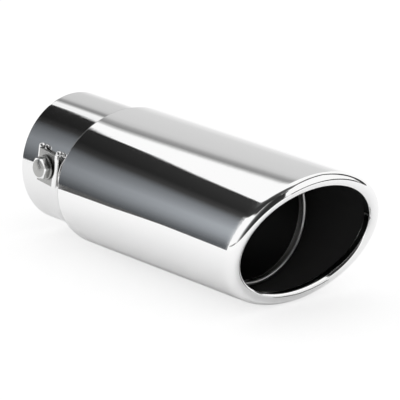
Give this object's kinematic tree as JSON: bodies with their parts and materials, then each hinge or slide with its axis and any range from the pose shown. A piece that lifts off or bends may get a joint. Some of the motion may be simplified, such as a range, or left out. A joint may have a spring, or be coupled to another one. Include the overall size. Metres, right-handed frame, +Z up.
{
  "type": "exhaust tip",
  "caption": "Polished oval exhaust tip with a slant-cut mouth and rolled-in lip, on a round inlet tube that bolts in welded plates clamp to a car's tail pipe.",
  "frame": {"origin": "centre of the inlet tube's open end", "axes": "+X along the tube from the inlet to the mouth, +Y across the oval's wide axis, +Z up as the tip lies on its broad side"},
  "size_m": [0.1913, 0.094, 0.07],
  "materials": {
    "polished_shell": "mirror-polished stainless sheet",
    "polished_tube": "mirror-polished stainless sheet outside, dark inside",
    "rear_plate": "plain stainless sheet, as rolled",
    "bracket": "plain stainless plate, long edges rounded and bright",
    "fastener": "zinc-bright steel"
  },
  "bodies": {
    "tip": {"outer_shell": "polished_shell", "inlet_tube": "polished_tube", "rear_plate": "rear_plate", "clamp_bracket_left": "bracket", "clamp_bracket_right": "bracket"},
    "bolt_left": {"clamp_bolt_left": "fastener", "clamp_washer_left": "fastener"},
    "bolt_right": {"clamp_bolt_right": "fastener", "clamp_washer_right": "fastener"}
  },
  "joints": [
    {"name": "bolt_left_travel", "type": "slide", "parent": "tip", "child": "bolt_left", "axis": [0, 0.9986, -0.0523], "range_m": [-0.0015, 0.0008]},
    {"name": "bolt_right_travel", "type": "slide", "parent": "tip", "child": "bolt_right", "axis": [0, -0.9986, -0.0523], "range_m": [-0.0015, 0.0008]}
  ]
}
